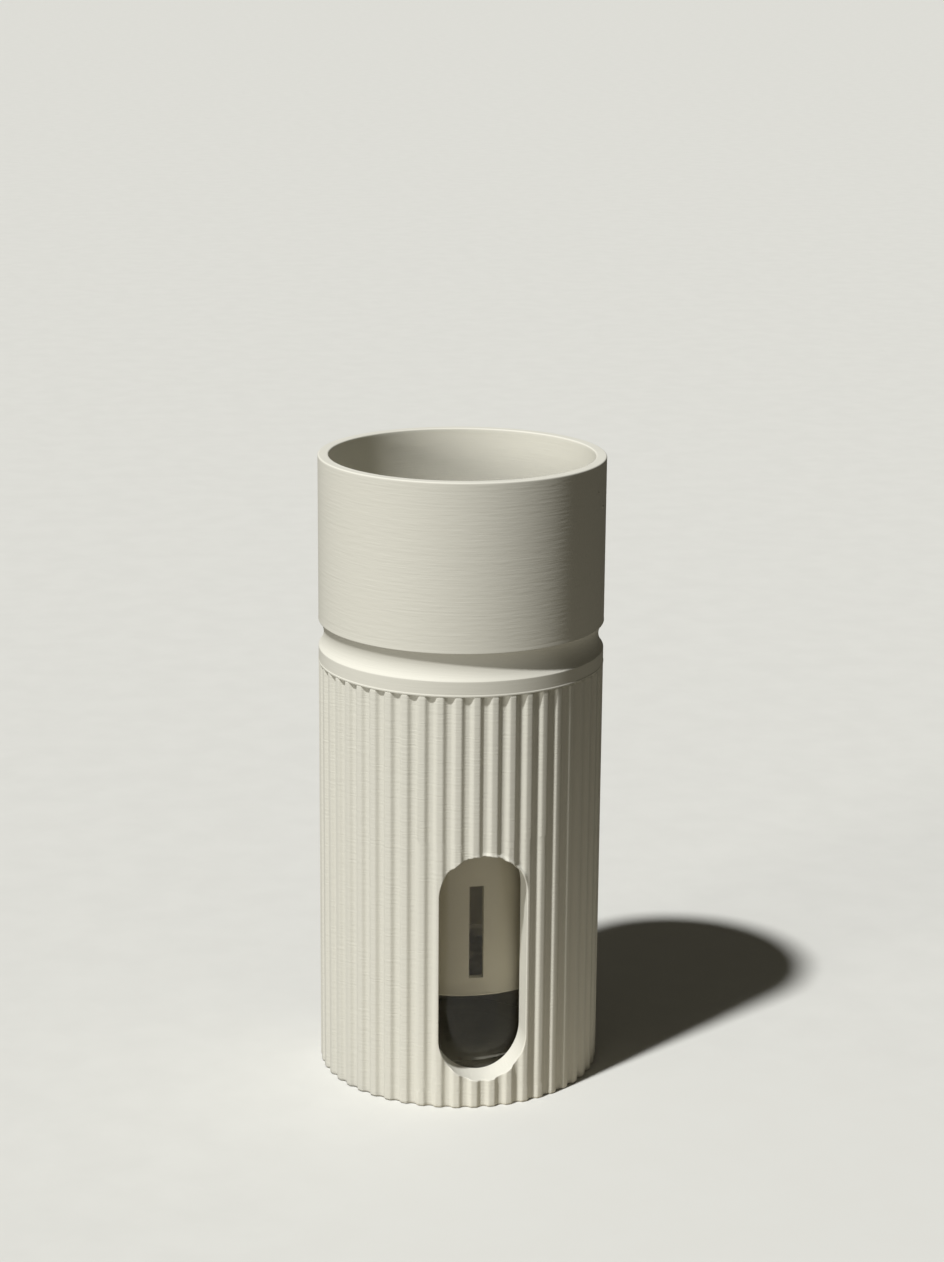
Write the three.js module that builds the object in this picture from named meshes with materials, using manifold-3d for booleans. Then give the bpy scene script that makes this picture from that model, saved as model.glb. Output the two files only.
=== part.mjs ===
// Self-watering pot: a printed fluted sleeve holds a glass tumbler of water, a smooth planter collar sits
// on the sleeve, and a slotted basket hangs from the collar down into the glass.
// Millimetres, +Z up. The origin is the centre of the underside, and the window in the sleeve faces -Y.
import * as THREE from 'three';
import { mergeVertices } from 'three/addons/utils/BufferGeometryUtils.js';
import Module from 'manifold-3d';

const wasm = await Module();
wasm.setup();

// Glass tumbler
const GLASS_RADIUS = 30;
const GLASS_HEIGHT = 112;
const GLASS_WALL = 1.8;
const GLASS_BASE = 2.8;
const GLASS_CORNER = 10; // outer round between base and wall

// Fluted sleeve
const SLEEVE_WALL = 9.2; // from the bore to the ribs between the flutes
const SLEEVE_FLOOR = 3;
const SLEEVE_CHAMFER = 0.6; // round the foot and the mouth of the bore
const FLUTE_COUNT = 50;
const FLUTE_DEPTH = 0.9; // from rib to valley
const RIB_FLAT = 0.2; // share of half a flute's pitch, from the middle of a rib, that is flat
const RIB_EDGE = 0.42; // share at which the rib's round edge turns into the hollow
const GLASS_CLEARANCE = 0.8; // radial, between the glass and the bore
const GLASS_HEADROOM = 4.3; // from the rim of the glass to the top of the sleeve

// Window through the front of the sleeve
const WINDOW_WIDTH = 24.6;
const WINDOW_HEIGHT = 66;
const WINDOW_SILL = 8; // from the underside of the sleeve to the lowest point of the window

// Planter collar
const FLANGE_HEIGHT = 4.3;
const GROOVE_HEIGHT = 7.8; // opening of the hollow round groove
const GROOVE_DEPTH = 1.45;
const COLLAR_HEIGHT = 46.6; // from the groove to the rim
const COLLAR_WALL = 3;
const COLLAR_FLOOR = 2.5;
const RIM_ROUND = 0.6;

// Slotted basket
const BASKET_CLEARANCE = 0.8; // radial, between the basket and the glass
const BASKET_WALL = 2;
const BASKET_FLOOR = 1.5;
const RESERVOIR_DEPTH = 23; // from the inside of the glass's base to the underside of the basket
const LIP_HEIGHT = 2;
const LIP_CLEARANCE = 0.4; // radial, between the lip and the collar
const HANG_CLEARANCE = 0.3; // radial, between the basket's foot and the hole in the collar's floor
const SLOT_COUNT = 6;
const SLOT_WIDTH = 4;
const SLOT_HEIGHT = 27.2;
const SLOT_RISE = 5.2; // from the underside of the basket to the bottom of a slot
const DRAIN_RADIUS = 4.5;
const RING_DRAIN_COUNT = 6;
const RING_DRAIN_RADIUS = 2.5;
const RING_DRAIN_INSET = 7; // from the basket's inner wall to the ring of drain holes

// First printed layers, squeezed outward at the foot of the collar and of the basket
const FOOT_FLARE = 0.25;
const FOOT_HEIGHT = 0.5;

// Facets
const TURN_STEPS = 72;
const ROUND_STEPS = 2; // half the number of facets on a profile's round
const FLUTE_STEPS = [-0.7, -RIB_EDGE, -RIB_FLAT, RIB_FLAT, RIB_EDGE, 0.7, 1]; // shares of half a pitch
const WINDOW_STEPS = 12;
const HOLE_STEPS = 20;
const CUT_MARGIN = 1; // how far a cutter reaches past what it cuts

// Radii that follow
const BORE_RADIUS = GLASS_RADIUS + GLASS_CLEARANCE;
const OUTER_RADIUS = BORE_RADIUS + SLEEVE_WALL;
const BASKET_RADIUS = GLASS_RADIUS - GLASS_WALL - BASKET_CLEARANCE;
const BASKET_INNER = BASKET_RADIUS - BASKET_WALL;
const HANG_RADIUS = BASKET_RADIUS + FOOT_FLARE + HANG_CLEARANCE;
const GROOVE_RADIUS = (GROOVE_HEIGHT ** 2 / 4 + GROOVE_DEPTH ** 2) / (2 * GROOVE_DEPTH);
const COLLAR_INNER = OUTER_RADIUS - COLLAR_WALL;
const LIP_RADIUS = COLLAR_INNER - LIP_CLEARANCE;

// Heights that follow
const GLASS_RIM = SLEEVE_FLOOR + GLASS_HEIGHT;
const SEAT = GLASS_RIM + GLASS_HEADROOM; // top of the sleeve, where the collar sits
const FLANGE_TOP = SEAT + FLANGE_HEIGHT;
const GROOVE_TOP = FLANGE_TOP + GROOVE_HEIGHT;
const COLLAR_TOP = GROOVE_TOP + COLLAR_HEIGHT;
const LIP_SEAT = SEAT + COLLAR_FLOOR;
const LIP_TOP = LIP_SEAT + LIP_HEIGHT;
const BASKET_BOTTOM = SLEEVE_FLOOR + GLASS_BASE + RESERVOIR_DEPTH;
const BASKET_FLOOR_TOP = BASKET_BOTTOM + BASKET_FLOOR;

const FRONT = -Math.PI / 2; // the angle, in the XY plane, that the window faces

// Matte printed plastic in a warm grey
function printedPlastic(color) {
  return new THREE.MeshStandardMaterial({ color, roughness: 0.75, metalness: 0 });
}

function clearGlass() {
  return new THREE.MeshStandardMaterial({
    color: 0xdfe8e6,
    roughness: 0.05,
    metalness: 0,
    transparent: true,
    opacity: 0.35,
  });
}

// Closed geometry to a solid that can be joined and cut
function solid(geometry) {
  const bare = geometry.clone();
  bare.deleteAttribute('normal');
  bare.deleteAttribute('uv');
  const merged = mergeVertices(bare);
  const corners = merged.index.array;
  const triVerts = [];
  for (let i = 0; i < corners.length; i += 3) {
    const [a, b, c] = [corners[i], corners[i + 1], corners[i + 2]];
    if (a !== b && b !== c && c !== a) triVerts.push(a, b, c);
  }
  const vertProperties = new Float32Array(merged.attributes.position.array);
  return new wasm.Manifold(
    new wasm.Mesh({ numProp: 3, vertProperties, triVerts: new Uint32Array(triVerts) }),
  );
}

// Solid back to geometry
function geometryOf(body) {
  const { vertProperties, triVerts } = body.getMesh();
  const geometry = new THREE.BufferGeometry();
  geometry.setAttribute('position', new THREE.BufferAttribute(vertProperties, 3));
  geometry.setIndex(new THREE.BufferAttribute(triVerts, 1));
  geometry.computeVertexNormals();
  return geometry;
}

// Turns a profile of (radius, height) about the Z axis
function turned(profile) {
  return solid(new THREE.LatheGeometry(profile.getPoints(ROUND_STEPS), TURN_STEPS).rotateX(Math.PI / 2));
}

// Point at a radius and an angle about the Z axis
function around(radius, angle) {
  return new THREE.Vector2(radius * Math.cos(angle), radius * Math.sin(angle));
}

function namedMesh(name, body, material) {
  const mesh = new THREE.Mesh(geometryOf(body), material);
  mesh.name = name;
  return mesh;
}

// How far the sleeve lies below its ribs: flat on the rib, round at its edge, then hollow to the valley.
// It goes from 0 at the middle of a rib to 1 at the middle of a valley.
function fluteDrop(share) {
  const span = 1 - RIB_FLAT;
  if (share <= RIB_FLAT) return 0;
  if (share <= RIB_EDGE) return (share - RIB_FLAT) ** 2 / ((RIB_EDGE - RIB_FLAT) * span);
  return 1 - (1 - share) ** 2 / ((1 - RIB_EDGE) * span);
}

// Outline of the sleeve, with a valley at the window
function flutedOutline() {
  const points = [];
  const halfPitch = Math.PI / FLUTE_COUNT;
  for (let rib = 0; rib < FLUTE_COUNT; rib++) {
    const middle = FRONT + (2 * rib + 1) * halfPitch;
    for (const share of FLUTE_STEPS) {
      const radius = OUTER_RADIUS - FLUTE_DEPTH * fluteDrop(Math.abs(share));
      points.push(around(radius, middle + share * halfPitch));
    }
  }
  return new THREE.Shape(points);
}

// Keeps the sleeve inside a drum whose foot is chamfered
function chamferedDrum() {
  const drum = new THREE.Path();
  drum.moveTo(0, 0);
  drum.lineTo(OUTER_RADIUS - SLEEVE_CHAMFER, 0);
  drum.lineTo(OUTER_RADIUS + CUT_MARGIN, SLEEVE_CHAMFER + CUT_MARGIN);
  drum.lineTo(OUTER_RADIUS + CUT_MARGIN, SEAT);
  drum.lineTo(0, SEAT);
  return turned(drum);
}

// Space for the glass, with a chamfered mouth
function boreCutter() {
  const bore = new THREE.Path();
  bore.moveTo(0, SLEEVE_FLOOR);
  bore.lineTo(BORE_RADIUS, SLEEVE_FLOOR);
  bore.lineTo(BORE_RADIUS, SEAT - SLEEVE_CHAMFER);
  bore.lineTo(BORE_RADIUS + SLEEVE_CHAMFER + CUT_MARGIN, SEAT + CUT_MARGIN);
  bore.lineTo(0, SEAT + CUT_MARGIN);
  return turned(bore);
}

// Upright slot with round ends, cut straight out from the axis through the front wall
function windowCutter() {
  const radius = WINDOW_WIDTH / 2;
  const outline = new THREE.Shape();
  outline.absarc(0, WINDOW_SILL + WINDOW_HEIGHT - radius, radius, 0, Math.PI);
  outline.absarc(0, WINDOW_SILL + radius, radius, Math.PI, 2 * Math.PI);
  const block = new THREE.ExtrudeGeometry(outline, {
    depth: OUTER_RADIUS + CUT_MARGIN,
    curveSegments: WINDOW_STEPS,
    bevelEnabled: false,
  });
  return solid(block.rotateX(Math.PI / 2));
}

function flutedSleeve() {
  const block = new THREE.ExtrudeGeometry(flutedOutline(), { depth: SEAT, bevelEnabled: false });
  const body = solid(block).intersect(chamferedDrum()).subtract(boreCutter()).subtract(windowCutter());
  return namedMesh('fluted_sleeve', body, printedPlastic(0xd4d2c4));
}

function glassReservoir() {
  const inner = GLASS_RADIUS - GLASS_WALL;
  const innerCorner = GLASS_CORNER - GLASS_WALL;
  const innerBase = SLEEVE_FLOOR + GLASS_BASE;
  const rimRound = GLASS_WALL / 2;
  const profile = new THREE.Path();
  profile.moveTo(0, SLEEVE_FLOOR);
  profile.lineTo(GLASS_RADIUS - GLASS_CORNER, SLEEVE_FLOOR);
  profile.absarc(GLASS_RADIUS - GLASS_CORNER, SLEEVE_FLOOR + GLASS_CORNER, GLASS_CORNER, -Math.PI / 2, 0);
  profile.absarc(GLASS_RADIUS - rimRound, GLASS_RIM - rimRound, rimRound, 0, Math.PI);
  profile.absarc(inner - innerCorner, innerBase + innerCorner, innerCorner, 0, -Math.PI / 2, true);
  profile.lineTo(0, innerBase);
  return namedMesh('glass_reservoir', turned(profile), clearGlass());
}

// Foot of a printed wall: the first layers stand out by the flare, then slope back to the wall
function flaredFoot(profile, radius, bottom) {
  profile.lineTo(radius + FOOT_FLARE, bottom);
  profile.lineTo(radius + FOOT_FLARE, bottom + FOOT_HEIGHT);
  profile.lineTo(radius, bottom + FOOT_HEIGHT + FOOT_FLARE);
}

function planterCollar() {
  const grooveMiddle = FLANGE_TOP + GROOVE_HEIGHT / 2;
  const grooveCentre = OUTER_RADIUS - GROOVE_DEPTH + GROOVE_RADIUS;
  const grooveTurn = Math.asin(GROOVE_HEIGHT / 2 / GROOVE_RADIUS);
  const rimCentre = COLLAR_TOP - RIM_ROUND;
  const profile = new THREE.Path();
  profile.moveTo(HANG_RADIUS, SEAT);
  flaredFoot(profile, OUTER_RADIUS, SEAT);
  profile.absarc(
    grooveCentre,
    grooveMiddle,
    GROOVE_RADIUS,
    Math.PI + grooveTurn,
    Math.PI - grooveTurn,
    true,
  );
  profile.absarc(OUTER_RADIUS - RIM_ROUND, rimCentre, RIM_ROUND, 0, Math.PI / 2);
  profile.absarc(COLLAR_INNER + RIM_ROUND, rimCentre, RIM_ROUND, Math.PI / 2, Math.PI);
  profile.lineTo(COLLAR_INNER, LIP_SEAT);
  profile.lineTo(HANG_RADIUS, LIP_SEAT);
  profile.closePath();
  return namedMesh('planter_collar', turned(profile), printedPlastic(0xd4d2c4));
}

function basketShell() {
  const profile = new THREE.Path();
  profile.moveTo(0, BASKET_BOTTOM);
  flaredFoot(profile, BASKET_RADIUS, BASKET_BOTTOM);
  profile.lineTo(BASKET_RADIUS, LIP_SEAT);
  profile.lineTo(LIP_RADIUS, LIP_SEAT);
  profile.lineTo(LIP_RADIUS, LIP_TOP);
  profile.lineTo(BASKET_INNER, LIP_TOP);
  profile.lineTo(BASKET_INNER, BASKET_FLOOR_TOP);
  profile.lineTo(0, BASKET_FLOOR_TOP);
  return turned(profile);
}

// Radial block that cuts one slot through the basket's wall
function slotCutter(angle) {
  const reach = BASKET_WALL + 2 * CUT_MARGIN;
  const place = around(BASKET_RADIUS - BASKET_WALL / 2, angle);
  const block = new THREE.BoxGeometry(reach, SLOT_WIDTH, SLOT_HEIGHT).rotateZ(angle);
  return solid(block.translate(place.x, place.y, BASKET_BOTTOM + SLOT_RISE + SLOT_HEIGHT / 2));
}

// Upright drill that cuts one drain hole through the basket's floor
function drainCutter(radius, x, y) {
  const height = BASKET_FLOOR + 2 * CUT_MARGIN;
  const drill = new THREE.CylinderGeometry(radius, radius, height, HOLE_STEPS).rotateX(Math.PI / 2);
  return solid(drill.translate(x, y, BASKET_BOTTOM + BASKET_FLOOR / 2));
}

// One slot faces the window, and the ring of drain holes lies between the slots
function slottedBasket() {
  let body = basketShell().subtract(drainCutter(DRAIN_RADIUS, 0, 0));
  for (let i = 0; i < SLOT_COUNT; i++) {
    body = body.subtract(slotCutter(FRONT + (i / SLOT_COUNT) * 2 * Math.PI));
  }
  for (let i = 0; i < RING_DRAIN_COUNT; i++) {
    const angle = FRONT + ((i + 0.5) / RING_DRAIN_COUNT) * 2 * Math.PI;
    const place = around(BASKET_INNER - RING_DRAIN_INSET, angle);
    body = body.subtract(drainCutter(RING_DRAIN_RADIUS, place.x, place.y));
  }
  return namedMesh('slotted_basket', body, printedPlastic(0xd2cfc1));
}

const group = new THREE.Group();
group.add(flutedSleeve(), glassReservoir(), planterCollar(), slottedBasket());

export default group;
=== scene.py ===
"""Looks of the self-watering pot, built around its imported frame. Metres, +Z up, the window faces -Y."""
import math

import bpy
import numpy as np
from mathutils import Matrix, Vector, noise
from mathutils.geometry import delaunay_2d_cdt


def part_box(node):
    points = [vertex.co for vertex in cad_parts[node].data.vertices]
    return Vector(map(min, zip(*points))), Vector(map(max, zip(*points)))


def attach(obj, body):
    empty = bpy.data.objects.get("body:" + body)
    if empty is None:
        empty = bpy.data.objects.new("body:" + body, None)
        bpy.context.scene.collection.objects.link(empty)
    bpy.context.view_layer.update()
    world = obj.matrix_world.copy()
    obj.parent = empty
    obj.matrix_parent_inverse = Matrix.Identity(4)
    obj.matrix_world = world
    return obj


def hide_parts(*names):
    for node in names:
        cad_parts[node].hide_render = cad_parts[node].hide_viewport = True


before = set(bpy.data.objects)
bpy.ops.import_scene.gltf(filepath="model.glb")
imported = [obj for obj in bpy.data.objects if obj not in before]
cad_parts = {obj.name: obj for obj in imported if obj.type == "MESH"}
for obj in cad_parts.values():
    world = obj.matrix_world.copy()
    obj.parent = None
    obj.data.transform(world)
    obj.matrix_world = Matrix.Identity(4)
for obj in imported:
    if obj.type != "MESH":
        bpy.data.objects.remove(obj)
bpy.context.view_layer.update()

# Places read from the frame
_, sleeve_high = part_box("fluted_sleeve")
glass_low, glass_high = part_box("glass_reservoir")
_, collar_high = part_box("planter_collar")
basket_low, basket_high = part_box("slotted_basket")
CREST = sleeve_high.x
SEAT = sleeve_high.z
FLOOR_TOP = glass_low.z
GLASS_RADIUS = glass_high.x
GLASS_RIM = glass_high.z
RIM = collar_high.z
FOOT_FLARE = collar_high.x - CREST
BASKET_BOTTOM = basket_low.z
LIP_TOP = basket_high.z
LIP_RADIUS = basket_high.x

# Sleeve
FLUTES = 50
FLUTE_DEPTH = 0.0009
RIB_FLAT = 0.22  # share of half a flute's pitch, from the middle of a rib, that is flat
RIB_TURN = 0.5  # share at which the rib's round edge turns into the hollow
VALLEY_FLAT = 0.9  # share at which the valley's flat middle starts
GLASS_CLEARANCE = 0.0008
BORE = GLASS_RADIUS + GLASS_CLEARANCE
BORE_CHAMFER = 0.0006
BASE_ROUND = 0.0006
BASE_HOLD = 0.0012  # height above which the wall is shaded as straight
TOP_ROUND = 0.0003
TOP_HOLD = 0.0009  # the same, down from the top
WINDOW_HALF = 0.0123
WINDOW_LOW = 0.008
WINDOW_HIGH = 0.074
WINDOW_ROUND = 0.0003

# Printed arch over the window, where the print had to bridge
SAG = 0.00022  # how far the arch droops
SAG_START = 0.35  # how steeply the edge faces up where the droop starts: 0 on the jambs, 1 at the top
SAG_BLEND = 0.4  # how much steeper it faces up where the droop is whole
SAG_REACH = 0.0016  # how far up the front the droop is felt
EVEN_SAG = 0.3  # shares of the droop that are even, in lumps and in ripples
LUMP_SAG = 1.5
RIPPLE_SAG = 0.7
LUMP_LOW = -0.2  # lumps never rise above the arch by more than this share
LUMP_SCALE = (520, 120)  # lumps to the metre along the arch and through the wall
LUMP_PLACE = 4.7  # where the pattern is taken from
RIPPLE_SCALE = (1700, 400)
RIPPLE_PLACE = 1.3
BLOBS = (  # x, half width and drop
    (-0.0082, 0.0008, 0.00016),
    (-0.0014, 0.0008, 0.0003),
    (0.0056, 0.0009, 0.00025),
)
BEAD = 0.0003  # how far the arch's edge curls out
BEAD_FILL = 0.3  # share of a valley's depth that the curled edge fills
BEAD_WIDTH = 0.00045
CURL_START = 0.1  # how steeply the edge faces up where it starts to curl
CURL_BLEND = 0.4
EVEN_CURL = 0.55  # shares of the curl that are even and in lumps
LUMP_CURL = 0.9
CURL_LEAN = 0.05  # how much the curl grows for each bead's width towards +X
CURL_SCALE = (420, 1)  # as for the droop's lumps, but at one depth
CURL_DEPTH = 8.1
CURL_PLACE = 2.6

# Collar
FLANGE = 0.0043
GROOVE = 0.0078
GROOVE_DEPTH = 0.00145
GROOVE_EDGE_ROUND = 0.00035
COLLAR_WALL = 0.003
COLLAR_FLOOR = 0.0025
RIM_ROUND = 0.0004
CORNER_ROUND = 0.0003
FOOT_HEIGHT = 0.0005
FOOT_SHAPE = ((0.6, 0), (1, 0.3), (1, 0.7), (0.5, 1.1))  # shares of the flare and of the foot's height
FLANGE_FLARE = 0.0001
EDGE_FLARE = 0.00006  # bulge of the wall's lowest layers, over the groove
EDGE_FLARE_HEIGHT = 0.0006
LAYER = 0.0003  # height of one row of the printed wall
INSIDE_LAYER = 0.0006
LAYER_WANDER = 0.000025  # how far the rows stand in or out of true
ROW_CHANGE = 2.7  # how fast the pattern changes from one row to the next
RUN_SCALE = 14  # slow runs to the metre, and their share
RUN_SHARE = 0.6
DASH_SCALE = 320  # short dashes to the metre, and their share
DASH_SHARE = 0.8
DASH_PLACE = 50
SPECK_RADIUS = 0.0004
SPECK_HEIGHT = 0.0003
SPECK_RINGS = (-20, 10, 40, 70)  # angles of its rings above the wall
SPECKS = ((64.5, 0.0125), (58.0, 0.0078))  # turn from the front and depth below the rim

# Glass
GLASS_WALL = 0.0018
GLASS_BASE = 0.0028
GLASS_CORNER = 0.010

# Basket
BASKET_CLEARANCE = 0.0008
BASKET_RADIUS = GLASS_RADIUS - GLASS_WALL - BASKET_CLEARANCE
BASKET_WALL = 0.002
BASKET_FLOOR = 0.0015
HANG_CLEARANCE = 0.0003
HANG_RADIUS = BASKET_RADIUS + FOOT_FLARE + HANG_CLEARANCE
LIP_ROUND = 0.0004
SLOTS = 6
SLOT_WIDTH = 0.004
SLOT_RISE = 0.0052
SLOT_HEIGHT = 0.0272
SLOT_LOW = BASKET_BOTTOM + SLOT_RISE
SLOT_HIGH = SLOT_LOW + SLOT_HEIGHT
DRAIN = 0.0045
RING_DRAIN = 0.0025
RING_DRAIN_INSET = 0.007

# Fineness of the meshes
EDGE_STEPS = 4
HOLLOW_STEPS = 6
RIB_SHARES = (
    0,
    *np.linspace(RIB_FLAT, RIB_TURN, EDGE_STEPS + 1),
    *np.linspace(RIB_TURN, VALLEY_FLAT, HOLLOW_STEPS + 1)[1:],
    1,
)
PATCH_RIBS = 3.75  # flutes each side of the front that make way for the window
PATCH_LOW = 0.0042
PATCH_HIGH = 0.078
PATCH_STEPS = 26
PATCH_CROWDING = 1.5  # power that brings the patch's rows together at the window's edge
FRONT_REACH = 0.6  # turn each side of the front up to which its outline is sampled
FRONT_SAMPLES = 6001
ARCH_ROWS = 26
JAMB_ROWS = 12
ROUND_STEPS = 4
DEPTH_STEPS = 12
BORE_STEPS = 4
TOP_STEPS = 3
CORNER_STEPS = 4
GROOVE_STEPS = 16
RIM_STEPS = 6
COLLAR_STEPS = 256
SPECK_SIDES = 10
GLASS_STEPS = 160
GLASS_CORNER_STEPS = 14
GLASS_LIP_STEPS = 10
SLOT_SIDE_COLUMNS = 2
WALL_COLUMNS = 14
LIP_STEPS = 3
DRAIN_STEPS = 32
INSIDE_ONLY = 1  # keeps what lies inside the outline when a face is cut into triangles
CUT_TOLERANCE = 1e-7
HOLE_SHARE = 0.97  # a triangle nearer than this share of a drain hole's radius lies in the hole
HELD_SHARE = 0.25  # a stretch is long if its held end takes less than this share
SMOOTH_ANGLE = 35  # edges that turn by more than this are sharp
GLASS_SMOOTH_ANGLE = 60

# Camera, fitted to the photograph: its place and turn are relative to the pot's axis
CAMERA_AZIMUTH = -10.1
CAMERA_DISTANCE = 0.7628
CAMERA_HEIGHT = 0.3300
CAMERA_PITCH = 14.89
CAMERA_YAW = 0.23
CAMERA_ROLL = 0.47
FOCAL_PIXELS = 2809
IMAGE_LONG_SIDE = 1262

# Light. Bearings count from the camera's own azimuth. A level is what a white surface facing the lamp shows
KEY_BEARING = -44
KEY_ELEVATION = 60.5
KEY_ANGLE = 3.4  # degrees across, as seen from the pot
KEY_LEVEL = 1.21
KEY_COLOUR = (1.0, 1.0, 1.0)
SIDE_BEARING = -44
SIDE_ELEVATION = 8
SIDE_ANGLE = 11.4
SIDE_LEVEL = 0.34
SIDE_COLOUR = (1.0, 0.98, 0.92)
LAMP_DISTANCE = 3.0
WORLD_LEVEL = 0.06
WORLD_COLOUR = (1.0, 0.93, 0.74, 1)
BACKGROUND_SEEN = (0.7, 0.69, 0.645, 1)

# Floor
FLOOR_HALF = 20
FLOOR_SEEN = (0.635, 0.634, 0.6, 1)
FLOOR_BOUNCE = (0.1, 0.095, 0.08, 1)  # what the floor throws back onto the pot
FLOOR_GLOW = (0.5, 0.465, 0.39, 1)  # the same from a round spot in front of the window
FLOOR_ROUGHNESS = 0.8
GLOW_BEARING = 32  # from the camera's own azimuth
GLOW_DISTANCE = 0.125
GLOW_RADIUS = 0.085
GLOW_BLEND = 0.04
MOTTLE_SCALE = (60, 60, 60)
MOTTLE_DETAIL = 3.0
MOTTLE_SPAN = (0.35, 0.65)
MOTTLE_TONE = (0.97, 1.0)

# Printed plastic. Scales are marks to the metre along x, y and z
PLASTIC = (0.66, 0.648, 0.575, 1)
# the basket's plastic is darker and browner than the other pieces: painted shade, as the basket stands in
# shade behind the window
SHADED_BASKET_PLASTIC = (0.64, 0.605, 0.5, 1)
PLASTIC_GLOSS = 0.1
PLASTIC_ROUGHNESS = (0.48, 0.6)
PRINT_DETAIL = 2.0
NOISE_SPAN = (0.3, 0.7)  # the stretch of a pattern's values that is used
NOISE_ROUGHNESS = 0.55
STREAK_SCALE = (110, 110, 2600)
STREAK_ROUGHNESS = 0.5
STREAK_TINT = (0.465, 0.53)  # place between the darkest and the lightest tint
BAND_SCALE = (14, 14, 420)
BAND_TINT = (-0.02, 0.02)  # how far that place is shifted
TINT_SPREAD = 0.06  # how far the darkest and the lightest tint lie from the colour
GRAIN_SCALE = (2600, 2600, 5200)
GRAIN_SHARE = 0.5
RELIEF_STRENGTH = 0.5
SLEEVE_RELIEF = 0.00018  # height of the layers' relief
COLLAR_RELIEF = 0.00005

# Clear glass
GLASS_IOR = 1.45
GLASS_TINT = (0.97, 0.96, 0.93, 1)
GLASS_REFLECTION = (0.4, 0.4, 0.4, 1)
GLASS_SHADOW = (0.985, 0.98, 0.965, 1)  # what is left of a lamp's light behind the glass
BLACK = (0, 0, 0, 1)


class Surface:
    """Collects vertices and faces, then makes one piece of them."""

    def __init__(self):
        self.points = []
        self.faces = []

    def add(self, points):
        """Adds vertices and gives their numbers."""
        start = len(self.points)
        self.points.extend(tuple(map(float, p)) for p in points)
        return list(range(start, len(self.points)))

    def strip(self, a, b, skip=()):
        """Quads between two closed rows of vertices, facing out where b lies above a on an outer wall."""
        for i in range(len(a)):
            if i not in skip:
                j = (i + 1) % len(a)
                self.faces.append((a[i], a[j], b[j], b[i]))

    def fan(self, centre, ring):
        """Triangles between a middle vertex and a closed row of vertices."""
        for i, a in enumerate(ring):
            self.faces.append((centre, a, ring[(i + 1) % len(ring)]))

    def piece(self, name, material, smooth=SMOOTH_ANGLE):
        """Piece made of all faces, without the vertices that no face uses."""
        used = sorted({i for face in self.faces for i in face})
        kept = {old: new for new, old in enumerate(used)}
        mesh = bpy.data.meshes.new(name)
        mesh.from_pydata(
            [self.points[i] for i in used], [], [[kept[i] for i in face] for face in self.faces]
        )
        mesh.validate()
        mesh.shade_smooth()
        mesh.set_sharp_from_angle(angle=math.radians(smooth))
        mesh.materials.append(material)
        made = bpy.data.objects.new(name, mesh)
        bpy.context.scene.collection.objects.link(made)
        return made


def arc(centre, radius, start, end, steps):
    """Points of a round stretch in the plane of (radius, height). Angles are in degrees."""
    angles = np.radians(np.linspace(start, end, steps + 1))
    return [(centre[0] + radius * math.cos(a), centre[1] + radius * math.sin(a)) for a in angles]


def held(profile, reach):
    """Adds points near both ends of each long straight stretch, so that the stretch is shaded flat."""
    points = []
    for a, b in zip(profile, profile[1:]):
        points.append(a)
        share = reach / max(math.dist(a, b), reach)
        if share < HELD_SHARE:
            points += [(a[0] + t * (b[0] - a[0]), a[1] + t * (b[1] - a[1])) for t in (share, 1 - share)]
    return points + [profile[-1]]


def around(radius, turn, height):
    """Point at a turn about Z, counted in radians from the front towards +X."""
    return (radius * math.sin(turn), -radius * math.cos(turn), height)


def turns(count):
    """Even turns all the way round, in radians."""
    return np.arange(count) * (2 * math.pi / count)


def turned(profile, steps):
    """Profile of (radius, height), anticlockwise, turned about Z. It ends on the axis or closes on itself."""
    surface = Surface()
    capped = profile[0][0] == 0
    rings = []
    for radius, height in profile:
        # a ring on the axis is one vertex, repeated
        if radius == 0:
            rings.append(surface.add([(0, 0, height)]) * steps)
        else:
            rings.append(surface.add(around(radius, t, height) for t in turns(steps)))
    pairs = list(zip(rings, rings[1:]))
    if not capped:
        pairs.append((rings[-1], rings[0]))
    for low, high in pairs:
        if low[0] == low[1]:
            surface.fan(low[0], high[::-1])
        elif high[0] == high[1]:
            surface.fan(high[0], low)
        else:
            surface.strip(low, high)
    return surface


def flute_radius(turn):
    """Outline of the sleeve: flat ribs with round edges and hollow valleys, one of them at the front."""
    share = np.abs(1 - np.mod(np.asarray(turn) * FLUTES / math.pi, 2))
    span = VALLEY_FLAT - RIB_FLAT
    edge = (share - RIB_FLAT) ** 2 / ((RIB_TURN - RIB_FLAT) * span)
    hollow = 1 - (VALLEY_FLAT - share) ** 2 / ((VALLEY_FLAT - RIB_TURN) * span)
    drop = np.select([share <= RIB_FLAT, share <= RIB_TURN, share <= VALLEY_FLAT], [0, edge, hollow], 1)
    return CREST - FLUTE_DEPTH * drop


def eased(t):
    """Way from 0 to 1 with a soft start and a soft end."""
    t = np.clip(t, 0, 1)
    return t * t * (3 - 2 * t)


# Sleeve

def column_turns():
    """Turns of the sleeve's columns, close together where a rib's edge is round."""
    half = math.pi / FLUTES
    shares = sorted({-s for s in RIB_SHARES} | {s for s in RIB_SHARES if s < 1})
    return np.array([(2 * rib + 1 + s) * half for rib in range(FLUTES) for s in shares])


COLUMN_TURNS = column_turns()
COLUMNS = len(COLUMN_TURNS)
PATCH_COLUMNS = round(COLUMNS / FLUTES * PATCH_RIBS)


def patch_heights():
    """Rows beside the window: close together at its two arches, wide apart between them."""
    low_centre = WINDOW_LOW + WINDOW_HALF
    high_centre = WINDOW_HIGH - WINDOW_HALF
    rows = [
        np.linspace(PATCH_LOW, low_centre, ARCH_ROWS),
        np.linspace(low_centre, high_centre, JAMB_ROWS)[1:],
        np.linspace(high_centre, PATCH_HIGH, ARCH_ROWS)[1:],
    ]
    return np.concatenate(rows)


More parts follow.
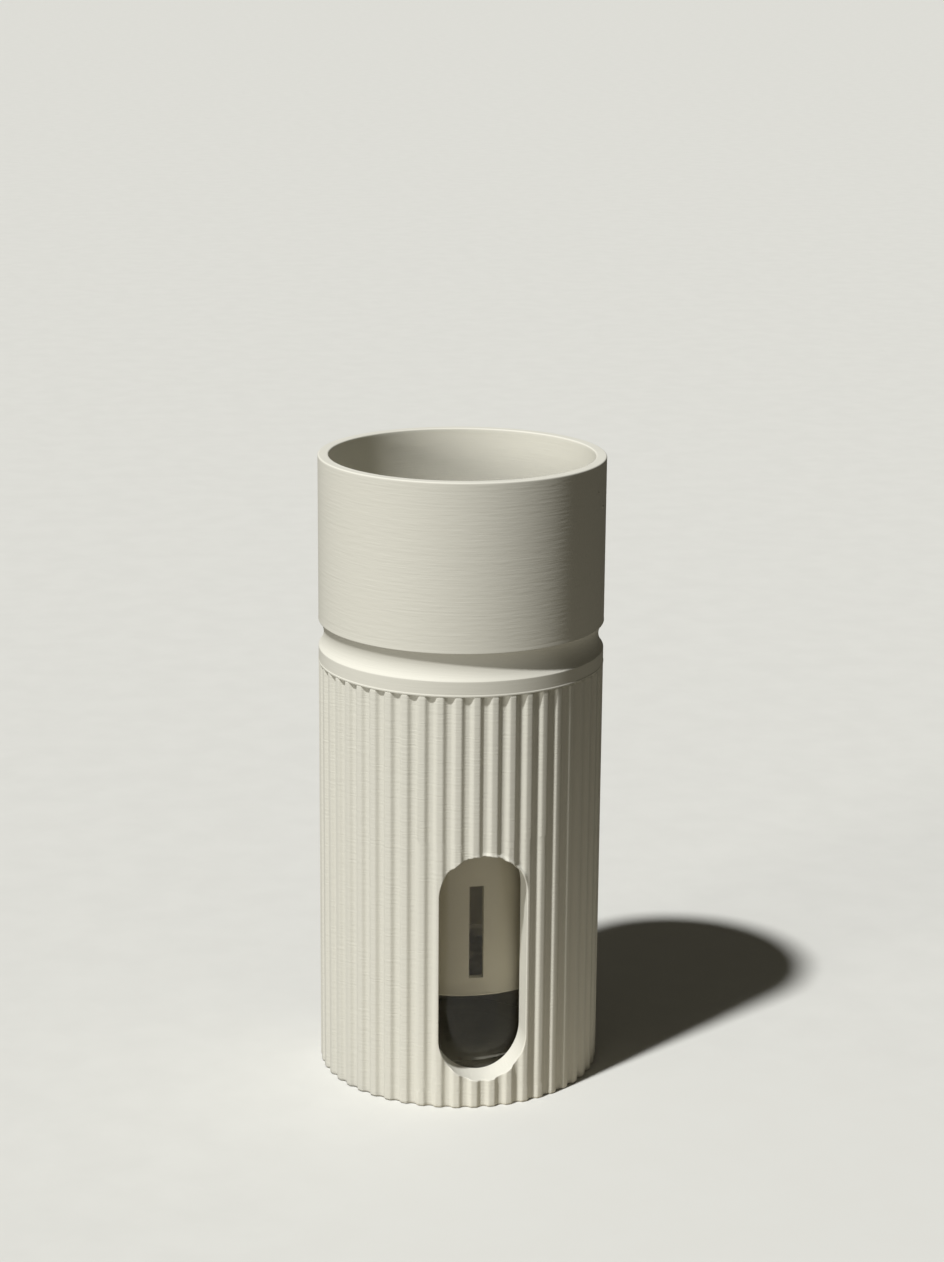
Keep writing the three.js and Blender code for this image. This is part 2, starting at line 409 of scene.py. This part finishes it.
def outer_rows():
    """Rows of the outer wall, from the foot up, as (inset from the flutes, height)."""
    foot = arc((0, BASE_ROUND), BASE_ROUND, -90, 0, CORNER_STEPS)
    top = arc((0, SEAT - TOP_ROUND), TOP_ROUND, 0, 90, TOP_STEPS)
    rows = [(BASE_ROUND - r, z) for r, z in foot]
    rows += [(0, z) for z in (BASE_HOLD, PATCH_LOW, PATCH_HIGH, SEAT - TOP_HOLD)]
    return rows + [(TOP_ROUND - r, z) for r, z in top]


def bore_rows():
    """Rows of the bore, from its mouth down, as (radius, height)."""
    heights = (SEAT - BORE_CHAMFER, PATCH_HIGH, PATCH_LOW, FLOOR_TOP)
    return [(BORE + BORE_CHAMFER, SEAT)] + [(BORE, z) for z in heights]


def side_columns(surface, radius):
    """Vertices up both upright sides of the patch, between its lowest and its highest row."""
    sides = []
    for turn in (-COLUMN_TURNS[PATCH_COLUMNS], COLUMN_TURNS[PATCH_COLUMNS]):
        sides.append(surface.add(around(radius(turn), turn, z) for z in patch_heights()[1:-1]))
    return sides


def patch_border(low, high, sides):
    """Loop of vertices round the patch, from its lower left corner, anticlockwise as seen from the front."""
    columns = range(-PATCH_COLUMNS, PATCH_COLUMNS + 1)
    left, right = sides
    return [low[j] for j in columns] + right + [high[j] for j in reversed(columns)] + left[::-1]


def patched_strip(surface, low, high, sides, inward=False):
    """Wall between two rows that leaves the patch open and takes in the vertices up the patch's sides."""
    left, right = sides
    if inward:
        left, right = left[::-1], right[::-1]
    count = len(low)
    for i in range(PATCH_COLUMNS + 1, count - PATCH_COLUMNS - 1):
        surface.faces.append((low[i], low[i + 1], high[i + 1], high[i]))
    i = PATCH_COLUMNS
    surface.faces.append((low[i], low[i + 1], high[i + 1], high[i], *right[::-1]))
    i = count - PATCH_COLUMNS - 1
    surface.faces.append((low[i], low[i + 1], *left, high[i + 1], high[i]))


def window_line(border):
    """For each border point, the window's edge point and the way out from it, in the plane of (x, z)."""
    x, z = border[:, 0], border[:, 2]
    axis = np.clip(z, WINDOW_LOW + WINDOW_HALF, WINDOW_HIGH - WINDOW_HALF)
    away = np.stack([x, z - axis], 1)
    reach = np.linalg.norm(away, axis=1, keepdims=True)
    away = away / reach
    edge = np.stack([np.zeros_like(axis), axis], 1) + away * WINDOW_HALF
    return edge, away, reach[:, 0] - WINDOW_HALF


FRONT_TURNS = np.linspace(-FRONT_REACH, FRONT_REACH, FRONT_SAMPLES)
FRONT_X = flute_radius(FRONT_TURNS) * np.sin(FRONT_TURNS)


def outer_front(x):
    """y of the fluted front at each x."""
    turn = np.interp(x, FRONT_X, FRONT_TURNS)
    return -flute_radius(turn) * np.cos(turn)


def bore_front(x):
    """y of the bore's front at each x."""
    return -np.sqrt(BORE**2 - x**2)


def unevenness(x, depth, scale, place):
    """Smooth noise along the arch and through the wall."""
    along, through = scale
    return np.array([noise.noise(Vector((a * along, d * through, place))) for a, d in zip(x, depth)])


def droop(edge, away, depth):
    """How far the arch over the window hangs below its true curve: uneven, with a few blobs."""
    x = edge[:, 0]
    over = eased((away[:, 1] - SAG_START) / SAG_BLEND)
    lumps = np.clip(unevenness(x, depth, LUMP_SCALE, LUMP_PLACE), LUMP_LOW, 1)
    ripples = unevenness(x, depth, RIPPLE_SCALE, RIPPLE_PLACE)
    blobs = sum(drop * np.exp(-(((x - middle) / half) ** 2)) for middle, half, drop in BLOBS)
    return over * (SAG * (EVEN_SAG + LUMP_SAG * lumps + RIPPLE_SAG * ripples) + blobs)


def arch_curl(edge, away):
    """How far the arch's edge stands out from the front, as a thin uneven bead."""
    x = edge[:, 0]
    over = eased((away[:, 1] - CURL_START) / CURL_BLEND)
    lumps = unevenness(x, np.full(len(x), CURL_DEPTH), CURL_SCALE, CURL_PLACE)
    valley = CREST + outer_front(x) / np.sqrt(1 - (x / CREST) ** 2)
    share = np.clip(EVEN_CURL + CURL_LEAN * x / BEAD_WIDTH + LUMP_CURL * lumps, 0, 1)
    return (BEAD + BEAD_FILL * valley) * over * share


def add_window(surface, outer_loop, bore_loop):
    """Closes the gap between the two patches with a rounded outer edge, deep jambs and the bore's edge."""
    edge, away, reach = window_line(np.array([surface.points[i] for i in outer_loop]))
    loops = []

    def ring(flat, y):
        loops.append(surface.add(np.stack([flat[:, 0], y, flat[:, 1]], 1)))

    # from the patch's border in to the rounded edge
    edge_sag = droop(edge, away, np.zeros(len(edge)))
    curl = arch_curl(edge, away)
    for t in np.linspace(1, 0, PATCH_STEPS + 1)[1:-1] ** PATCH_CROWDING:
        gap = WINDOW_ROUND + t * (reach - WINDOW_ROUND)
        flat = edge + away * gap[:, None]
        y = outer_front(flat[:, 0])
        pull = edge_sag * (1 - eased(gap / SAG_REACH))
        flat[:, 1] -= pull
        ring(flat, y - curl * np.exp(-(((gap - WINDOW_ROUND) / BEAD_WIDTH) ** 2)))
    # over the rounded edge
    for turn in np.radians(np.linspace(90, 0, ROUND_STEPS + 1)):
        flat = edge + away * (WINDOW_ROUND * (1 - math.cos(turn)))
        y = outer_front(flat[:, 0]) + WINDOW_ROUND * (1 - math.sin(turn))
        flat[:, 1] -= edge_sag
        ring(flat, y - curl * math.sin(turn))
    # through the wall
    start = outer_front(edge[:, 0]) + WINDOW_ROUND
    for t in np.linspace(0, 1, DEPTH_STEPS + 1)[1:]:
        y = start + t * (bore_front(edge[:, 0]) - start)
        flat = edge.copy()
        flat[:, 1] -= droop(edge, away, y - start)
        ring(flat, bore_front(flat[:, 0]) if t == 1 else y)
    # along the bore to its own patch
    inner = np.array([surface.points[i] for i in loops[-1]])[:, [0, 2]]
    border = np.array([surface.points[i] for i in bore_loop])[:, [0, 2]]
    for t in np.linspace(0, 1, BORE_STEPS + 1)[1:-1]:
        flat = inner + t * (border - inner)
        ring(flat, bore_front(flat[:, 0]))
    loops = [outer_loop] + loops + [bore_loop]
    for a, b in zip(loops, loops[1:]):
        surface.strip(a, b)


def fluted_sleeve(material):
    surface = Surface()
    flutes = flute_radius(COLUMN_TURNS)
    outer = [
        surface.add(around(r, t, height) for r, t in zip(flutes - inset, COLUMN_TURNS))
        for inset, height in outer_rows()
    ]
    bore = [surface.add(around(radius, t, height) for t in COLUMN_TURNS) for radius, height in bore_rows()]
    underside, floor = surface.add([(0, 0, 0), (0, 0, FLOOR_TOP)])
    outer_sides = side_columns(surface, flute_radius)
    bore_sides = side_columns(surface, lambda turn: BORE)
    outer_low = [z for _, z in outer_rows()].index(PATCH_LOW)
    bore_high = [z for _, z in bore_rows()].index(PATCH_HIGH)

    surface.fan(underside, outer[0][::-1])
    for k, (low, high) in enumerate(zip(outer, outer[1:])):
        if k == outer_low:
            patched_strip(surface, low, high, outer_sides)
        else:
            surface.strip(low, high)
    surface.strip(outer[-1], bore[0])
    for k, (high, low) in enumerate(zip(bore, bore[1:])):
        if k == bore_high:
            patched_strip(surface, high, low, bore_sides, inward=True)
        else:
            surface.strip(high, low)
    surface.fan(floor, bore[-1])
    outer_loop = patch_border(outer[outer_low], outer[outer_low + 1], outer_sides)
    bore_loop = patch_border(bore[bore_high + 1], bore[bore_high], bore_sides)
    add_window(surface, outer_loop, bore_loop)
    return surface.piece("sleeve_print", material)


# Collar

def flared_foot(radius, bottom, flare):
    """Foot of a printed wall, whose first layers are squeezed outward."""
    foot = [(radius + flare * out, bottom + FOOT_HEIGHT * up) for out, up in FOOT_SHAPE]
    return foot + [(radius, bottom + FOOT_HEIGHT + flare)]


def groove_profile():
    """Hollow round groove with softly rounded edges, from the flange up to the wall."""
    half = GROOVE / 2
    middle = SEAT + FLANGE + half
    hollow = (half**2 + GROOVE_DEPTH**2) / (2 * GROOVE_DEPTH)
    centre = CREST - GROOVE_DEPTH + hollow
    edge = CREST - GROOVE_EDGE_ROUND
    # the hollow and each edge's round touch where the line through their centres crosses them
    rise = math.sqrt((hollow + GROOVE_EDGE_ROUND) ** 2 - (centre - edge) ** 2)
    lean = math.degrees(math.atan2(rise, centre - edge))
    profile = arc((edge, middle - rise), GROOVE_EDGE_ROUND, 0, lean, CORNER_STEPS)
    profile += arc((centre, middle), hollow, 180 + lean, 180 - lean, GROOVE_STEPS)[1:-1]
    profile += arc((edge + EDGE_FLARE, middle + rise), GROOVE_EDGE_ROUND, -lean, 0, CORNER_STEPS)
    return profile


def layers(radius, low, high, layer):
    """Rows of a printed wall between two heights."""
    count = round(abs(high - low) / layer)
    return [(radius, z) for z in np.linspace(low, high, count + 1)[1:-1]]


def layer_wander(x, y, height):
    """How far a row stands in or out of true: long slow runs, and short dashes."""
    row = height / LAYER * ROW_CHANGE
    run = noise.noise(Vector((x * RUN_SCALE, y * RUN_SCALE, row)))
    dash = noise.noise(Vector((x * DASH_SCALE, y * DASH_SCALE, row + DASH_PLACE)))
    return LAYER_WANDER * (RUN_SHARE * run + DASH_SHARE * dash)


def shift_rows(surface, low, high):
    """Moves the rows between two heights in or out, as the layers of a print lie."""
    for i, (x, y, z) in enumerate(surface.points):
        if low < z < high:
            share = 1 + layer_wander(x, y, z) / math.hypot(x, y)
            surface.points[i] = (x * share, y * share, z)


def add_speck(surface, turn, height):
    """Small blob of plastic that a print leaves on its wall."""
    rings = []
    for up in np.radians(SPECK_RINGS):
        spread = SPECK_RADIUS * math.cos(up)
        radius = CREST + SPECK_HEIGHT * math.sin(up)
        ring = []
        for t in turns(SPECK_SIDES):
            ring.append(around(radius, turn + spread * math.cos(t) / CREST, height + spread * math.sin(t)))
        rings.append(surface.add(ring))
    for low, high in zip(rings, rings[1:]):
        surface.strip(low, high)
    surface.fan(surface.add([around(CREST + SPECK_HEIGHT, turn, height)])[0], rings[-1])


def planter_collar(material):
    inner = CREST - COLLAR_WALL
    floor = SEAT + COLLAR_FLOOR
    wall_top = RIM - RIM_ROUND
    profile = [(HANG_RADIUS, SEAT)]
    profile += flared_foot(CREST, SEAT, FLANGE_FLARE)
    profile += groove_profile()
    wall_low = profile[-1][1] + EDGE_FLARE_HEIGHT
    outside = [(CREST, wall_low)] + layers(CREST, wall_low, wall_top, LAYER)
    inside = layers(inner, wall_top, floor + CORNER_ROUND, INSIDE_LAYER)
    profile += outside
    profile += arc((CREST - RIM_ROUND, wall_top), RIM_ROUND, 0, 90, RIM_STEPS)
    profile += arc((inner + RIM_ROUND, wall_top), RIM_ROUND, 90, 180, RIM_STEPS)
    profile += inside
    profile += arc((inner - CORNER_ROUND, floor + CORNER_ROUND), CORNER_ROUND, 0, -90, CORNER_STEPS)
    profile += [(HANG_RADIUS, floor)]
    surface = turned(held(profile, CORNER_ROUND), COLLAR_STEPS)
    shift_rows(surface, wall_low, wall_top)
    for turn, depth in SPECKS:
        add_speck(surface, math.radians(turn), RIM - depth)
    return surface.piece("collar_print", material)


# Glass

def glass_reservoir(material):
    """Tumbler with round bottom corners. Light that bounces between the other pieces passes it freely."""
    inner = GLASS_RADIUS - GLASS_WALL
    corner = GLASS_CORNER - GLASS_WALL
    base = FLOOR_TOP + GLASS_BASE
    lip = GLASS_WALL / 2
    profile = [(0, FLOOR_TOP)]
    outer_centre = (GLASS_RADIUS - GLASS_CORNER, FLOOR_TOP + GLASS_CORNER)
    profile += arc(outer_centre, GLASS_CORNER, -90, 0, GLASS_CORNER_STEPS)
    profile += arc((GLASS_RADIUS - lip, GLASS_RIM - lip), lip, 0, 180, GLASS_LIP_STEPS)
    profile += arc((inner - corner, base + corner), corner, 0, -90, GLASS_CORNER_STEPS)
    profile += [(0, base)]
    surface = turned(held(profile, CORNER_ROUND), GLASS_STEPS)
    tumbler = surface.piece("glass_tumbler", material, GLASS_SMOOTH_ANGLE)
    tumbler.visible_diffuse = False
    return tumbler


# Basket

def slot_columns(radius):
    """Turns of the wall's columns: each slot's two sides, then the wall up to the next slot."""
    side = math.asin(SLOT_WIDTH / 2 / radius)
    pitch = 2 * math.pi / SLOTS
    columns = []
    for i in range(SLOTS):
        start = i * pitch
        columns += list(start + np.linspace(-side, side, SLOT_SIDE_COLUMNS + 1)[:-1])
        columns += list(np.linspace(start + side, start + pitch - side, WALL_COLUMNS + 1)[:-1])
    return columns


def drain_holes():
    """Drain holes as (x, y, radius): one in the middle, and a ring of them between the slots."""
    ring = BASKET_RADIUS - BASKET_WALL - RING_DRAIN_INSET
    holes = [(0, 0, DRAIN)]
    for i in range(SLOTS):
        x, y, _ = around(ring, (i + 0.5) * 2 * math.pi / SLOTS, 0)
        holes.append((x, y, RING_DRAIN))
    return holes


def pierced_face(surface, ring, rims, height, up):
    """Level face inside a ring of vertices, open at the drain holes. Gives the vertices of their rims."""
    flat = [Vector(surface.points[i][:2]) for i in ring]
    edges = [(i, (i + 1) % len(ring)) for i in range(len(ring))]
    indices = list(ring)
    rim_vertices = []
    for rim in rims:
        start = len(flat)
        flat += [Vector(p) for p in rim]
        edges += [(start + i, start + (i + 1) % len(rim)) for i in range(len(rim))]
        rim_vertices.append(surface.add((x, y, height) for x, y in rim))
        indices += rim_vertices[-1]
    points, _, faces, origins, _, _ = delaunay_2d_cdt(flat, edges, [], INSIDE_ONLY, CUT_TOLERANCE)
    for face in faces:
        centre = sum((points[i] for i in face), Vector((0, 0))) / len(face)
        if all((centre - Vector((x, y))).length > radius * HOLE_SHARE for x, y, radius in drain_holes()):
            corners = [indices[origins[i][0]] for i in face]
            surface.faces.append(tuple(corners if up else corners[::-1]))
    return rim_vertices


def add_floor(surface, low_ring, high_ring):
    """Floor of the basket between the lowest rings of its outer and its inner wall, with its drain holes."""
    rims = []
    for x, y, radius in drain_holes():
        rims.append([(x + radius * math.cos(t), y + radius * math.sin(t)) for t in turns(DRAIN_STEPS)])
    low_rims = pierced_face(surface, low_ring, rims, BASKET_BOTTOM, False)
    high_rims = pierced_face(surface, high_ring, rims, BASKET_BOTTOM + BASKET_FLOOR, True)
    for low, high in zip(low_rims, high_rims):
        surface.strip(high, low)


def slotted_basket(material):
    surface = Surface()
    inner = BASKET_RADIUS - BASKET_WALL
    lip_seat = SEAT + COLLAR_FLOOR
    outer_columns = slot_columns(BASKET_RADIUS)
    inner_columns = slot_columns(inner)
    slot_rows = (SLOT_LOW, SLOT_HIGH)
    outer = flared_foot(BASKET_RADIUS, BASKET_BOTTOM, FOOT_FLARE)
    low_slot = len(outer)
    outer += [(BASKET_RADIUS, z) for z in slot_rows]
    outer += [(BASKET_RADIUS, lip_seat), (LIP_RADIUS, lip_seat)]
    outer += arc((LIP_RADIUS - LIP_ROUND, LIP_TOP - LIP_ROUND), LIP_ROUND, 0, 90, LIP_STEPS)
    inside = arc((inner + LIP_ROUND, LIP_TOP - LIP_ROUND), LIP_ROUND, 90, 180, LIP_STEPS)
    high_inside = len(outer) + len(inside)
    inside += [(inner, z) for z in reversed(slot_rows)]
    inside += [(inner, BASKET_BOTTOM + BASKET_FLOOR)]
    rings = [surface.add(around(r, t, z) for t in outer_columns) for r, z in outer]
    rings += [surface.add(around(r, t, z) for t in inner_columns) for r, z in inside]
    period = SLOT_SIDE_COLUMNS + WALL_COLUMNS
    gap = {i * period + k for i in range(SLOTS) for k in range(SLOT_SIDE_COLUMNS)}
    for k, (low, high) in enumerate(zip(rings, rings[1:])):
        surface.strip(low, high, skip=gap if k in (low_slot, high_inside) else ())
    for i in range(SLOTS):
        span = [i * period + k for k in range(SLOT_SIDE_COLUMNS + 1)]
        outer_low = [rings[low_slot][j] for j in span]
        outer_high = [rings[low_slot + 1][j] for j in span]
        inner_high = [rings[high_inside][j] for j in span]
        inner_low = [rings[high_inside + 1][j] for j in span]
        edge = outer_low + outer_high[::-1]
        back = inner_low + inner_high[::-1]
        surface.strip(edge, back)
    add_floor(surface, rings[0], rings[-1])
    return surface.piece("basket_print", material)


# Materials

def bearing(azimuth, elevation, distance):
    """Point at an azimuth from -Y towards +X, in degrees."""
    a, e = math.radians(azimuth), math.radians(elevation)
    flat = distance * math.cos(e)
    return Vector((flat * math.sin(a), -flat * math.cos(a), distance * math.sin(e)))


def new_material(name):
    material = bpy.data.materials.new(name)
    material.use_nodes = True
    tree = material.node_tree
    return material, tree, tree.nodes["Principled BSDF"]


def stretched(tree, scale):
    """Object coordinates, scaled along each axis."""
    coordinates = tree.nodes.new("ShaderNodeTexCoord")
    mapping = tree.nodes.new("ShaderNodeMapping")
    mapping.inputs["Scale"].default_value = scale
    tree.links.new(coordinates.outputs["Object"], mapping.inputs["Vector"])
    return mapping.outputs["Vector"]


def clouds(tree, scale, detail, roughness):
    """Cloudy pattern around 0.5, stretched along each axis."""
    texture = tree.nodes.new("ShaderNodeTexNoise")
    texture.inputs["Scale"].default_value = 1.0
    texture.inputs["Detail"].default_value = detail
    texture.inputs["Roughness"].default_value = roughness
    tree.links.new(stretched(tree, scale), texture.inputs["Vector"])
    return texture.outputs["Fac"]


def mapped(tree, value, span, to_span):
    """Value whose span is stretched to another one."""
    node = tree.nodes.new("ShaderNodeMapRange")
    for name, limit in zip(("From Min", "From Max", "To Min", "To Max"), (*span, *to_span)):
        node.inputs[name].default_value = limit
    tree.links.new(value, node.inputs["Value"])
    return node.outputs["Result"]


def maths(tree, operation, a, b):
    """Result of one operation on two values, each a constant or another node's output."""
    node = tree.nodes.new("ShaderNodeMath")
    node.operation = operation
    for socket, value in zip(node.inputs, (a, b)):
        if isinstance(value, (int, float)):
            socket.default_value = value
        else:
            tree.links.new(value, socket)
    return node.outputs[0]


def colour_mix(tree, a, b, share):
    """Colour between two others, each a constant or another node's output."""
    node = tree.nodes.new("ShaderNodeMix")
    node.data_type = "RGBA"
    for name, colour in (("A", a), ("B", b)):
        if isinstance(colour, tuple):
            node.inputs[name].default_value = colour
        else:
            tree.links.new(colour, node.inputs[name])
    tree.links.new(share, node.inputs["Factor"])
    return node.outputs["Result"]


def shaded(colour, share):
    """Colour made darker or lighter by a share."""
    return (*(channel * share for channel in colour[:3]), 1)


def printed_plastic(name, colour, relief):
    """Matte plastic laid down in thin level layers: streaks run round the piece, each at its own height."""
    material, tree, shader = new_material(name)
    streaks = clouds(tree, STREAK_SCALE, PRINT_DETAIL, STREAK_ROUGHNESS)
    bands = clouds(tree, BAND_SCALE, PRINT_DETAIL, NOISE_ROUGHNESS)
    grain = clouds(tree, GRAIN_SCALE, PRINT_DETAIL, NOISE_ROUGHNESS)

    streak_tint = mapped(tree, streaks, NOISE_SPAN, STREAK_TINT)
    band_tint = mapped(tree, bands, NOISE_SPAN, BAND_TINT)
    tint = maths(tree, "ADD", streak_tint, band_tint)
    dark = shaded(colour, 1 - TINT_SPREAD)
    light = shaded(colour, 1 + TINT_SPREAD)
    tree.links.new(colour_mix(tree, dark, light, tint), shader.inputs["Base Color"])

    tree.links.new(mapped(tree, streaks, NOISE_SPAN, PLASTIC_ROUGHNESS), shader.inputs["Roughness"])
    shader.inputs["Specular IOR Level"].default_value = PLASTIC_GLOSS

    bump = tree.nodes.new("ShaderNodeBump")
    bump.inputs["Strength"].default_value = RELIEF_STRENGTH
    bump.inputs["Distance"].default_value = relief
    height = maths(tree, "ADD", streaks, maths(tree, "MULTIPLY", grain, GRAIN_SHARE))
    tree.links.new(height, bump.inputs["Height"])
    tree.links.new(bump.outputs["Normal"], shader.inputs["Normal"])
    return material


def clear_glass():
    """Clear glass that lets lamps through to what stands behind it."""
    material, tree, shader = new_material("clear_glass")
    shader.inputs["Base Color"].default_value = GLASS_TINT
    shader.inputs["Roughness"].default_value = 0.0
    shader.inputs["IOR"].default_value = GLASS_IOR
    shader.inputs["Specular Tint"].default_value = GLASS_REFLECTION
    shader.inputs["Transmission Weight"].default_value = 1.0
    loss = tree.nodes.new("ShaderNodeFresnel")
    loss.inputs["IOR"].default_value = GLASS_IOR
    clear = tree.nodes.new("ShaderNodeBsdfTransparent")
    left = colour_mix(tree, GLASS_SHADOW, BLACK, loss.outputs["Fac"])
    tree.links.new(left, clear.inputs["Color"])
    path = tree.nodes.new("ShaderNodeLightPath")
    mix = tree.nodes.new("ShaderNodeMixShader")
    tree.links.new(path.outputs["Is Shadow Ray"], mix.inputs["Fac"])
    tree.links.new(shader.outputs["BSDF"], mix.inputs[1])
    tree.links.new(clear.outputs["BSDF"], mix.inputs[2])
    tree.links.new(mix.outputs["Shader"], tree.nodes["Material Output"].inputs["Surface"])
    return material


def seen_rays(tree):
    """1 for rays that show a surface to the eye, straight or by way of glass, and 0 for bounced light."""
    path = tree.nodes.new("ShaderNodeLightPath")
    seen = maths(tree, "MAXIMUM", path.outputs["Is Camera Ray"], path.outputs["Is Singular Ray"])
    seen = maths(tree, "MAXIMUM", seen, path.outputs["Is Transmission Ray"])
    direct = maths(tree, "LESS_THAN", path.outputs["Diffuse Depth"], 1)
    return maths(tree, "MULTIPLY", seen, direct)


def glow_spot(tree):
    """1 on the round spot of the floor that throws most light back, and 0 away from it."""
    away = tree.nodes.new("ShaderNodeVectorMath")
    away.operation = "DISTANCE"
    away.inputs[1].default_value = bearing(CAMERA_AZIMUTH + GLOW_BEARING, 0, GLOW_DISTANCE)
    coordinates = tree.nodes.new("ShaderNodeTexCoord")
    tree.links.new(coordinates.outputs["Object"], away.inputs[0])
    return mapped(tree, away.outputs["Value"], (GLOW_RADIUS, GLOW_RADIUS + GLOW_BLEND), (1, 0))


def pale_floor():
    """Pale floor with a faint mottle that throws little light back onto what stands on it."""
    material, tree, shader = new_material("pale_floor")
    bounce = colour_mix(tree, FLOOR_BOUNCE, FLOOR_GLOW, glow_spot(tree))
    mottle = clouds(tree, MOTTLE_SCALE, MOTTLE_DETAIL, NOISE_ROUGHNESS)
    tone = mapped(tree, mottle, MOTTLE_SPAN, MOTTLE_TONE)
    seen = maths(tree, "MULTIPLY", seen_rays(tree), tone)
    tree.links.new(colour_mix(tree, bounce, FLOOR_SEEN, seen), shader.inputs["Base Color"])
    shader.inputs["Roughness"].default_value = FLOOR_ROUGHNESS
    shader.inputs["Specular IOR Level"].default_value = 0.0
    return material


# Pieces

def place(piece, body, node, slot):
    """Puts a piece on its body, in the place of its node."""
    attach(piece, body)
    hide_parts(node)


sleeve_finish = printed_plastic("sleeve_plastic", PLASTIC, SLEEVE_RELIEF)
collar_finish = printed_plastic("collar_plastic", PLASTIC, COLLAR_RELIEF)
# darker, browner plastic for the basket: painted shade for its place behind the window
shaded_basket_finish = printed_plastic("basket_plastic_painted_shade", SHADED_BASKET_PLASTIC, COLLAR_RELIEF)
place(fluted_sleeve(sleeve_finish), "sleeve", "fluted_sleeve", "sleeve_print")
place(planter_collar(collar_finish), "collar", "planter_collar", "collar_print")
place(glass_reservoir(clear_glass()), "glass", "glass_reservoir", "clear_glass")
place(slotted_basket(shaded_basket_finish), "basket", "slotted_basket", "basket_print")


# Stage, light and camera

def floor_plane():
    mesh = bpy.data.meshes.new("floor")
    corners = ((-1, -1), (1, -1), (1, 1), (-1, 1))
    mesh.from_pydata([(x * FLOOR_HALF, y * FLOOR_HALF, 0) for x, y in corners], [], [(0, 1, 2, 3)])
    mesh.materials.append(pale_floor())
    floor = bpy.data.objects.new("floor", mesh)
    bpy.context.scene.collection.objects.link(floor)


def far_light(name, azimuth, elevation, angle, level, colour):
    """Far round lamp at an azimuth from the camera's own, facing the foot of the pot."""
    lamp = bpy.data.lights.new(name, "SUN")
    lamp.angle = math.radians(angle)
    lamp.energy = level * math.pi
    lamp.color = colour
    light = bpy.data.objects.new(name, lamp)
    light.location = bearing(CAMERA_AZIMUTH + azimuth, elevation, LAMP_DISTANCE)
    light.rotation_euler = (-light.location).to_track_quat("-Z", "Y").to_euler()
    bpy.context.scene.collection.objects.link(light)


def world_light():
    """Dim light from all round, and the pale background that is seen beyond the floor."""
    world = bpy.data.worlds.new("world")
    world.use_nodes = True
    tree = world.node_tree
    light = tree.nodes["Background"]
    light.inputs["Color"].default_value = WORLD_COLOUR
    light.inputs["Strength"].default_value = WORLD_LEVEL
    backdrop = tree.nodes.new("ShaderNodeBackground")
    backdrop.inputs["Color"].default_value = BACKGROUND_SEEN
    mix = tree.nodes.new("ShaderNodeMixShader")
    tree.links.new(seen_rays(tree), mix.inputs["Fac"])
    tree.links.new(light.outputs["Background"], mix.inputs[1])
    tree.links.new(backdrop.outputs["Background"], mix.inputs[2])
    tree.links.new(mix.outputs["Shader"], tree.nodes["World Output"].inputs["Surface"])
    bpy.context.scene.world = world


def photo_camera():
    data = bpy.data.cameras.new("camera")
    data.lens = FOCAL_PIXELS / IMAGE_LONG_SIDE * data.sensor_width
    camera = bpy.data.objects.new("camera", data)
    pitch, yaw, roll = (math.radians(v) for v in (CAMERA_PITCH, CAMERA_YAW, CAMERA_ROLL))
    ahead = Vector((math.sin(yaw) * math.cos(pitch), math.cos(yaw) * math.cos(pitch), -math.sin(pitch)))
    right = Vector((math.cos(yaw), -math.sin(yaw), 0))
    up = right.cross(ahead)
    right, up = right * math.cos(roll) + up * math.sin(roll), up * math.cos(roll) - right * math.sin(roll)
    axes = Matrix((right, up, -ahead)).transposed().to_4x4()
    turn = Matrix.Rotation(math.radians(CAMERA_AZIMUTH), 4, "Z")
    camera.matrix_world = turn @ Matrix.Translation((0, -CAMERA_DISTANCE, CAMERA_HEIGHT)) @ axes
    bpy.context.scene.collection.objects.link(camera)
    bpy.context.scene.camera = camera


floor_plane()
far_light("key", KEY_BEARING, KEY_ELEVATION, KEY_ANGLE, KEY_LEVEL, KEY_COLOUR)
far_light("side_fill", SIDE_BEARING, SIDE_ELEVATION, SIDE_ANGLE, SIDE_LEVEL, SIDE_COLOUR)
world_light()
photo_camera()
bpy.context.scene.view_settings.view_transform = "Standard"
